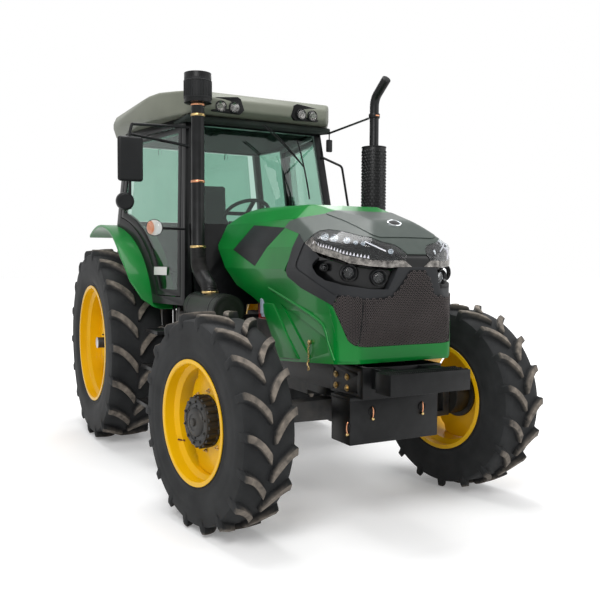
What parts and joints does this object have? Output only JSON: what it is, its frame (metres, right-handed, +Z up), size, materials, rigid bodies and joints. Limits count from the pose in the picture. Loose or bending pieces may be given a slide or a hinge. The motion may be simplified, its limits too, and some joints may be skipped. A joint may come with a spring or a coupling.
{
  "type": "farm tractor",
  "caption": "Full-size farm tractor with driven front axle, closed cab, opening hood and doors, steered front wheels and rear three-point linkage.",
  "frame": {"origin": "on the ground under the middle of the overall length and width", "axes": "+Z up, -Y forward towards the hood's nose, +X to the tractor's left"},
  "size_m": [2.386, 4.552, 2.998],
  "materials": {
    "frame_paint": "satin black paint",
    "casting_paint": "satin black paint on castings",
    "green_paint": "gloss green enamel",
    "wheel_paint": "gloss yellow enamel",
    "hub_paint": "satin black paint",
    "tyre": "moulded rubber",
    "dark_plastic": "fine-grained moulded plastic",
    "mesh": "black moulded mesh",
    "lamp_lens": "clear polycarbonate over bright reflectors",
    "roof_plastic": "grey-green moulded roof",
    "glass": "tinted safety glass",
    "seat_fabric": "woven black seat cloth",
    "interior_plastic": "grained interior plastic",
    "tank_plastic": "black moulded polyethylene",
    "mirror_housing": "black moulded plastic",
    "lamp_housing": "black lamp pods",
    "black_coating": "black powder coat"
  },
  "bodies": {
    "chassis": {"front_frame": "frame_paint", "front_axle": "casting_paint", "engine_block": "casting_paint", "transmission": "casting_paint", "rear_axle": "casting_paint", "cab_mounts": "black_coating", "fuel_tank": "tank_plastic", "front_step": "black_coating", "battery_box": "black_coating", "air_intake": "black_coating", "exhaust_stack": "black_coating", "cab_frame": "frame_paint", "cab_glass": "glass", "cab_roof": "roof_plastic", "seat": "seat_fabric", "dashboard": "interior_plastic", "fender_left": "green_paint", "fender_right": "green_paint", "lamps": "lamp_housing", "mirrors": "mirror_housing", "grab_rails": "black_coating", "cab_steps": "black_coating", "drawbar": "casting_paint"},
    "hood": {"hood_shell": "green_paint", "hood_vents": "mesh", "hood_nose": "dark_plastic", "grille": "mesh", "headlights": "lamp_lens"},
    "door_left": {"door_frame_left": "frame_paint", "door_glass_left": "glass"},
    "door_right": {"door_frame_right": "frame_paint", "door_glass_right": "glass"},
    "rear_window": {"rear_window": "glass"},
    "knuckle_left": {"knuckle_left": "casting_paint"},
    "knuckle_right": {"knuckle_right": "casting_paint"},
    "track_rod": {"track_rod": "black_coating"},
    "wheel_front_left": {"tyre_front_left": "tyre", "rim_front_left": "wheel_paint", "hub_front_left": "hub_paint"},
    "wheel_front_right": {"tyre_front_right": "tyre", "rim_front_right": "wheel_paint", "hub_front_right": "hub_paint"},
    "wheel_rear_left": {"tyre_rear_left": "tyre", "rim_rear_left": "wheel_paint", "hub_rear_left": "hub_paint"},
    "wheel_rear_right": {"tyre_rear_right": "tyre", "rim_rear_right": "wheel_paint", "hub_rear_right": "hub_paint"},
    "lower_links": {"lower_links": "casting_paint"},
    "lift_rods": {"lift_rods": "casting_paint"},
    "lift_arms": {"lift_arms": "casting_paint"}
  },
  "joints": [
    {"name": "steer_left", "type": "hinge", "parent": "chassis", "child": "knuckle_left", "pos_m": [0.7, -1.364, 0.655], "axis": [0, 0, 1], "range_deg": [-42.9, 27.1]},
    {"name": "steer_right", "type": "hinge", "parent": "chassis", "child": "knuckle_right", "pos_m": [-0.7, -1.364, 0.655], "axis": [0, 0, 1], "range_deg": [-42.9, 27.1]},
    {"name": "track_rod_pin", "type": "hinge", "parent": "knuckle_left", "child": "track_rod", "pos_m": [0.67251, -1.1659, 0.595], "axis": [0, 0, 1], "range_deg": [-27.1, 42.9]},
    {"name": "roll_front_left", "type": "hinge", "parent": "knuckle_left", "child": "wheel_front_left", "pos_m": [0.94268, -1.33033, 0.655], "axis": [0.9905, 0.1374, 0], "continuous": true},
    {"name": "roll_front_right", "type": "hinge", "parent": "knuckle_right", "child": "wheel_front_right", "pos_m": [-0.94268, -1.39767, 0.655], "axis": [0.9905, 0.1374, 0], "continuous": true},
    {"name": "roll_rear_left", "type": "hinge", "parent": "chassis", "child": "wheel_rear_left", "pos_m": [0.875, 1.316, 0.858], "axis": [1, 0, 0], "continuous": true},
    {"name": "roll_rear_right", "type": "hinge", "parent": "chassis", "child": "wheel_rear_right", "pos_m": [-0.875, 1.316, 0.858], "axis": [1, 0, 0], "continuous": true},
    {"name": "hood_hinge", "type": "hinge", "parent": "chassis", "child": "hood", "pos_m": [0, -0.278, 1.95], "axis": [-1, 0, 0], "range_deg": [0, 48]},
    {"name": "door_left_hinge", "type": "hinge", "parent": "chassis", "child": "door_left", "pos_m": [0.86876, 1.06307, 2.09742], "axis": [-0.1062, 0.0199, 0.9942], "range_deg": [0, 70]},
    {"name": "door_right_hinge", "type": "hinge", "parent": "chassis", "child": "door_right", "pos_m": [-0.86876, 1.06307, 2.09742], "axis": [-0.1062, -0.0199, -0.9942], "range_deg": [0, 70]},
    {"name": "rear_window_hinge", "type": "hinge", "parent": "chassis", "child": "rear_window", "pos_m": [0, 1.586, 2.709], "axis": [1, 0, 0], "range_deg": [0, 40]},
    {"name": "linkage_lift", "type": "hinge", "parent": "chassis", "child": "lower_links", "pos_m": [0, 1.506, 0.52], "axis": [1, 0, 0], "range_deg": [-14, 36]},
    {"name": "lift_arm_turn", "type": "hinge", "parent": "chassis", "child": "lift_arms", "pos_m": [0, 1.506, 1.18], "axis": [1, 0, 0], "range_deg": [-14, 36]},
    {"name": "lift_rod_pin", "type": "hinge", "parent": "lower_links", "child": "lift_rods", "pos_m": [0, 1.83488, 0.49278], "axis": [1, 0, 0], "range_deg": [-36, 14]}
  ],
  "couplings": [
    {"joint": "steer_right", "follows": "steer_left", "ratio": 1},
    {"joint": "track_rod_pin", "follows": "steer_left", "ratio": -1},
    {"joint": "lift_arm_turn", "follows": "linkage_lift", "ratio": 1},
    {"joint": "lift_rod_pin", "follows": "linkage_lift", "ratio": -1}
  ]
}
